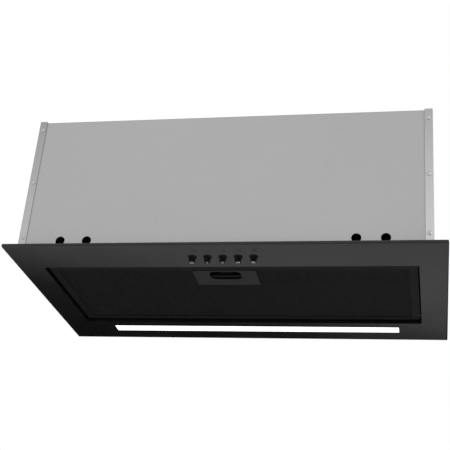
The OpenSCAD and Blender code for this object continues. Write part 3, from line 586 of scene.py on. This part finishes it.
def expanded_sheet(low, high, pitch, hole_share, tilt, keep_out):
    """Points and faces of an expanded-metal sheet between two corners.

    Diamonds of the given pitch (across, along) lie staggered. Each has a diamond hole, whose strands are
    tilted so that the hole's far end stands higher than its near end. keep_out is a rectangle without
    diamonds. The cut edges round the sheet and round keep_out are closed.
    """
    half = (pitch[0] / 2, pitch[1] / 2)
    middle = (low + high) / 2
    points, faces, known, outline = [], [], {}, set()

    def level(top):
        return high.z if top else low.z

    def spot(u, v):
        return held_within(middle.x + u * half[0], middle.y + v * half[1], low, high)

    def corner(u, v, top):
        if (u, v, top) not in known:
            known[u, v, top] = len(points)
            points.append((*spot(u, v), level(top)))
        return known[u, v, top]

    def hole_corner(u, v, du, dv, top):
        points.append((*spot(u + du * hole_share, v + dv * hole_share), level(top) + dv * tilt))
        return len(points) - 1

    for u, v in diamond_middles(low, high, half, keep_out):
        tips = [(u + du, v + dv) for du, dv in TIPS]
        outline.update((tips[k], tips[n]) for k, n in SIDES)
        holes = []
        for top in (False, True):
            outer = [corner(*tip, top) for tip in tips]
            inner = [hole_corner(u, v, du, dv, top) for du, dv in TIPS]
            holes.append(inner)
            for k, n in SIDES:
                face = (outer[k], outer[n], inner[n], inner[k])
                faces.append(face if top else face[::-1])
        under, over = holes
        faces += [(under[n], under[k], over[k], over[n]) for k, n in SIDES]
    for near, far in sorted(outline):
        if (far, near) not in outline:
            faces.append((corner(*near, False), corner(*far, False), corner(*far, True), corner(*near, True)))
    return points, faces


# an expanded sheet's pitch, the share of it that the hole takes, and the rise of the hole's far end
FRONT_SHEET = ((3.75 * MM, 6.8 * MM), 0.70, 0.22 * MM)
REAR_SHEET = ((6.5 * MM, 10.5 * MM), 0.74, 0.0)
CUP_LAP = Vector((1.0 * MM, 1.0 * MM, 0))


def filter_sheet(name, node, sizes, look):
    """An expanded sheet in place of a node's plain plate, left out where the handle's cup goes through."""
    cup_low, cup_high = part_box("filter_handle_plate")
    points, faces = expanded_sheet(*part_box(node), *sizes, (cup_low + CUP_LAP, cup_high - CUP_LAP))
    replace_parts(new_piece(name, points, faces, look, "filter"), node)


def make_sheets():
    """The filter's two expanded sheets."""
    filter_sheet(
        "front_expanded_sheet", "filter_front_mesh", FRONT_SHEET, "mesh_black"
    )
    filter_sheet(
        "rear_expanded_sheet", "filter_rear_mesh", REAR_SHEET, "bare_aluminium"
    )


# how thick a sign is, how deep it sits in its button, and how wide its lines are
SIGN_T = 0.05 * MM
SIGN_SINK = 0.01 * MM
LINE = 0.85 * MM
ROUND_STEPS = 28


def disc_points(radius):
    """The outline of a full disc."""
    angles = [math.tau * k / ROUND_STEPS for k in range(ROUND_STEPS)]
    return [(radius * math.cos(a), radius * math.sin(a)) for a in angles]


def arc_band(radius, start, sweep):
    """The outline of a band of the line's width, bent round a circle, from start over sweep in degrees."""
    angles = [math.radians(start + sweep * k / ROUND_STEPS) for k in range(ROUND_STEPS + 1)]
    outer, inner = radius + LINE / 2, radius - LINE / 2
    return [(outer * math.cos(a), outer * math.sin(a)) for a in angles] + [
        (inner * math.cos(a), inner * math.sin(a)) for a in reversed(angles)
    ]


def bar(x, y, width, height):
    """The outline of a bar round its middle."""
    left, right = x - width / 2, x + width / 2
    foot, head = y - height / 2, y + height / 2
    return [(left, foot), (right, foot), (right, head), (left, head)]


LAMP_R = 1.35 * MM
RAY_COUNT = 8
RAY_FROM = 2.0 * MM
RAY_TO = 3.2 * MM


def lamp_sign():
    """A disc with short rays around it."""
    rays = []
    for k in range(RAY_COUNT):
        a = math.tau * k / RAY_COUNT
        along, across = Vector((math.cos(a), math.sin(a))), Vector((-math.sin(a), math.cos(a)))
        near, far, side = along * RAY_FROM, along * RAY_TO, across * LINE / 2
        rays.append([tuple(p) for p in (near - side, far - side, far + side, near + side)])
    return [disc_points(LAMP_R)] + rays


LEVEL_PITCH = 1.9 * MM
LEVEL_WIDTH = 1.1 * MM
LEVEL_FOOT = -2.2 * MM
LEVEL_BASE = 1.6 * MM
LEVEL_STEP = 1.0 * MM


def level_sign(count):
    """As many upright bars as the fan speed, each a step taller than the last."""
    bars = []
    for k in range(count):
        x = (k - (count - 1) / 2) * LEVEL_PITCH
        height = LEVEL_BASE + (k + 1) * LEVEL_STEP
        bars.append(bar(x, LEVEL_FOOT + height / 2, LEVEL_WIDTH, height))
    return bars


POWER_R = 2.3 * MM
POWER_START = 125
POWER_SWEEP = 290
POWER_BAR_Y = 1.9 * MM
POWER_BAR = 2.4 * MM


def power_sign():
    """An open ring with an upright bar in its gap."""
    ring = arc_band(POWER_R, POWER_START, POWER_SWEEP)
    return [ring, bar(0, POWER_BAR_Y, LINE, POWER_BAR)]


def make_signs():
    """Thin white signs on the end faces of the buttons. They read the right way round from below."""
    signs = [power_sign(), level_sign(1), level_sign(2), level_sign(3), lamp_sign()]
    for number, outlines in enumerate(signs, start=1):
        low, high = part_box(f"button_{number}")
        middle = (low + high) / 2
        points, faces = [], []
        for outline in outlines:
            first, count = len(points), len(outline)
            for depth in (0, SIGN_T):
                z = low.z + SIGN_SINK - depth
                points += [(middle.x + x, middle.y - y, z) for x, y in outline]
            inside, outside = range(first, first + count), range(first + count, first + 2 * count)
            faces += [tuple(reversed(inside)), tuple(outside)]
            for k in range(count):
                n = (k + 1) % count
                faces.append((inside[k], inside[n], outside[n], outside[k]))
        new_piece(f"button_sign_{number}", points, faces, "sign_white_painted_glow", f"button_{number}")


UP = Vector((0, 0, 1))
RIGHT = Vector((1, 0, 0))
REARWARD = Vector((0, 1, 0))

WIRE_SIDES = 10
STEPS_A_TURN = 24
SPRING_TURNS = 5
BUTTON_WIRE_R = 0.4 * MM
LATCH_WIRE_R = 0.35 * MM


def coil(foot, way, across, length, outer_r, wire_r):
    """Points and faces of a coil that stands on its foot and points along way."""
    sideways = way.cross(across)
    rings = SPRING_TURNS * STEPS_A_TURN
    points, faces = [], []
    for k in range(rings + 1):
        turned = math.tau * k / STEPS_A_TURN
        out = across * math.cos(turned) + sideways * math.sin(turned)
        middle = foot + out * (outer_r - wire_r) + way * (wire_r + (length - 2 * wire_r) * k / rings)
        for side in range(WIRE_SIDES):
            round_wire = math.tau * side / WIRE_SIDES
            points.append(middle + (out * math.cos(round_wire) + way * math.sin(round_wire)) * wire_r)
    for k in range(rings):
        near, far = k * WIRE_SIDES, (k + 1) * WIRE_SIDES
        for side in range(WIRE_SIDES):
            next_side = (side + 1) % WIRE_SIDES
            faces.append((near + side, far + side, far + next_side, near + next_side))
    last = rings * WIRE_SIDES
    faces += [tuple(range(WIRE_SIDES)), tuple(reversed(range(last, last + WIRE_SIDES)))]
    return points, faces


def add_spring(name, foot, way, across, length, outer_r, wire_r, body, node):
    """A smooth coil that rides on a body, in place of the node."""
    points, faces = coil(foot, way, across, length, outer_r, wire_r)
    spring = new_piece(name, points, faces, "zinc_fasteners", body)
    for face in spring.data.polygons:
        face.use_smooth = True
    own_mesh(spring)
    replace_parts(spring, node)


def make_button_springs():
    """Upright coils behind the buttons, pressed together from below."""
    low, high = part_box("button_springs")
    for number in BUTTON_NUMBERS:
        button_low, button_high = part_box(f"button_{number}")
        middle = (button_low + button_high) / 2
        foot = Vector((middle.x, middle.y, low.z))
        add_spring(
            f"button_spring_{number}", foot, UP, RIGHT, high.z - low.z, (high.y - low.y) / 2,
            BUTTON_WIRE_R, "root", "button_springs",
        )


def make_latch_springs():
    """The two coils behind the latch, pressed together from the front."""
    low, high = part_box("latch_springs")
    outer_r = (high.z - low.z) / 2
    for side, x in (("left", low.x + outer_r), ("right", high.x - outer_r)):
        foot = Vector((x, low.y, (low.z + high.z) / 2))
        add_spring(
            f"latch_spring_{side}", foot, REARWARD, UP, high.y - low.y, outer_r,
            LATCH_WIRE_R, "filter", "latch_springs",
        )


make_looks()
make_camera()
make_studio()
dress_nodes()
make_sheets()
make_signs()
make_button_springs()
make_latch_springs()
